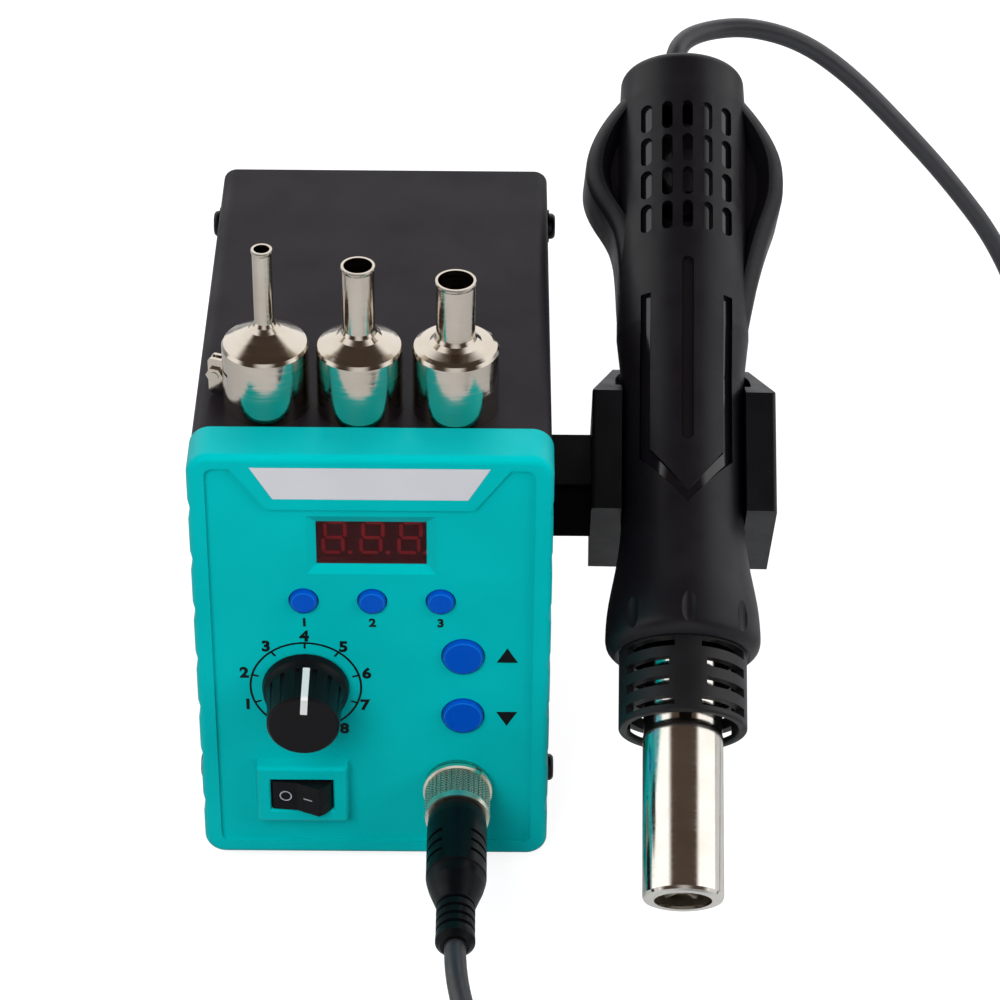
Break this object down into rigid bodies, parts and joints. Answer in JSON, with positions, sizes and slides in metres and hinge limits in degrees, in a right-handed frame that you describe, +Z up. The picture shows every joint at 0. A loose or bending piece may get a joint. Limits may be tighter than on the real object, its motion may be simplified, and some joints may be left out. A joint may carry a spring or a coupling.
{
  "type": "hot air rework station",
  "caption": "Benchtop hot air rework station: boxed blower control with knob, display and buttons, a handpiece in a side holder, and three loose round nozzles.",
  "frame": {"origin": "on the table under the middle of the bounding box of the station, holder and handpiece, cord and plug left out", "axes": "+X to the viewer's right along the front panel, +Y from the front panel to the rear, +Z up"},
  "size_m": [0.274, 0.3596, 0.1891],
  "materials": {
    "cover_paint": "black powder coat on sheet steel, satin",
    "panel_plastic": "turquoise moulded ABS, low sheen",
    "plate_sticker": "plain white printed plate",
    "display_filter": "dark red tinted acrylic",
    "display_body": "epoxy filled digit block",
    "button_blue": "blue polished plastic",
    "knob_black": "black phenolic, satin",
    "pointer_white": "white paint in a groove",
    "zinc_steel": "zinc plated steel",
    "bare_steel": "stainless steel, brushed",
    "inner_steel": "galvanised sheet",
    "nickel": "nickel plated brass",
    "board_green": "solder mask on glass epoxy",
    "black_nylon": "black nylon",
    "handle_black": "black ABS, fine spark texture",
    "holder_black": "black moulded plastic",
    "mica_ceramic": "white ceramic, slightly browned",
    "heater_wire": "resistance wire",
    "rubber": "black moulded rubber",
    "cord_silicone": "black silicone jacket",
    "iron_core": "stacked silicon steel",
    "winding_tape": "yellow polyester tape over copper",
    "sink_aluminium": "extruded aluminium",
    "magnet": "nickel plated magnet",
    "cage_polymer": "black heat resistant polymer"
  },
  "bodies": {
    "station": {"case_cover": "cover_paint", "base_pan": "inner_steel", "rubber_feet": "rubber", "cover_screws": "zinc_steel", "power_board": "board_green", "board_standoffs": "zinc_steel", "board_screws": "zinc_steel", "triac_heatsink": "sink_aluminium", "transformer_core": "iron_core", "transformer_winding": "winding_tape", "mains_inlet": "black_nylon", "inlet_screws": "zinc_steel", "front_bezel": "panel_plastic", "name_plate": "plate_sticker", "display_window": "display_filter", "display_module": "display_body", "control_board": "board_green", "tact_switches": "black_nylon", "airflow_pot": "nickel", "pot_nut": "zinc_steel", "switch_housing": "black_nylon", "panel_socket": "nickel", "socket_nut": "nickel", "plug_shell": "nickel", "plug_boot": "rubber", "holder_cradle": "holder_black", "holder_arm": "holder_black", "holder_magnet": "magnet", "holder_screws": "zinc_steel", "cord_handle_run": "cord_silicone", "cord_coil": "cord_silicone", "cord_plug_run": "cord_silicone"},
    "preset_1": {"preset_button_1": "button_blue"},
    "preset_2": {"preset_button_2": "button_blue"},
    "preset_3": {"preset_button_3": "button_blue"},
    "up": {"up_button": "button_blue"},
    "down": {"down_button": "button_blue"},
    "knob": {"airflow_knob": "knob_black", "knob_pointer": "pointer_white", "pot_shaft": "zinc_steel"},
    "rocker": {"switch_rocker": "black_nylon"},
    "ring": {"coupling_ring": "nickel"},
    "handpiece": {"handle_front_shell": "handle_black", "handle_rear_shell": "handle_black", "handle_screws": "zinc_steel", "vent_cage": "cage_polymer", "heater_tube": "bare_steel", "heater_core": "mica_ceramic", "heater_coil": "heater_wire", "blower_housing": "black_nylon", "blower_motor": "zinc_steel", "reed_board": "board_green", "tail_gland": "rubber"},
    "impeller": {"blower_impeller": "black_nylon"},
    "narrow": {"nozzle_narrow": "bare_steel", "nozzle_narrow_screw": "zinc_steel"},
    "medium": {"nozzle_medium": "bare_steel", "nozzle_medium_screw": "zinc_steel"},
    "wide": {"nozzle_wide": "bare_steel", "nozzle_wide_screw": "zinc_steel"}
  },
  "joints": [
    {"name": "preset_1_press", "type": "slide", "parent": "station", "child": "preset_1", "axis": [0, 1, 0], "range_m": [0, 0.0006], "stiffness_N_per_m": 500, "springref_m": -0.0004},
    {"name": "preset_2_press", "type": "slide", "parent": "station", "child": "preset_2", "axis": [0, 1, 0], "range_m": [0, 0.0006], "stiffness_N_per_m": 500, "springref_m": -0.0004},
    {"name": "preset_3_press", "type": "slide", "parent": "station", "child": "preset_3", "axis": [0, 1, 0], "range_m": [0, 0.0006], "stiffness_N_per_m": 500, "springref_m": -0.0004},
    {"name": "up_press", "type": "slide", "parent": "station", "child": "up", "axis": [0, 1, 0], "range_m": [0, 0.0006], "stiffness_N_per_m": 500, "springref_m": -0.0004},
    {"name": "down_press", "type": "slide", "parent": "station", "child": "down", "axis": [0, 1, 0], "range_m": [0, 0.0006], "stiffness_N_per_m": 500, "springref_m": -0.0004},
    {"name": "airflow_turn", "type": "hinge", "parent": "station", "child": "knob", "pos_m": [-0.05169, -0.0573, 0.0642], "axis": [0, 1, 0], "range_deg": [-115.5, 145.8]},
    {"name": "rocker_tilt", "type": "hinge", "parent": "station", "child": "rocker", "pos_m": [-0.05339, -0.0554, 0.0283], "axis": [0, 0, 1], "range_deg": [0, 29.6]},
    {"name": "ring_turn", "type": "hinge", "parent": "station", "child": "ring", "pos_m": [-0.00989, -0.0653, 0.029], "axis": [0, -1, 0], "range_deg": [0, 360]},
    {"name": "handpiece_lift", "type": "slide", "parent": "station", "child": "handpiece", "axis": [-0.009, -0.515, 0.8572], "range_m": [0, 0.07]},
    {"name": "impeller_spin", "type": "hinge", "parent": "handpiece", "child": "impeller", "pos_m": [0.05414, 0.07502, 0.14635], "axis": [0.0294, -0.5153, 0.8565], "continuous": true},
    {"name": "narrow_lift", "type": "slide", "parent": "station", "child": "narrow", "axis": [0, 0, 1], "range_m": [0, 0.06]},
    {"name": "medium_lift", "type": "slide", "parent": "station", "child": "medium", "axis": [0, 0, 1], "range_m": [0, 0.06]},
    {"name": "wide_lift", "type": "slide", "parent": "station", "child": "wide", "axis": [0, 0, 1], "range_m": [0, 0.06]}
  ]
}
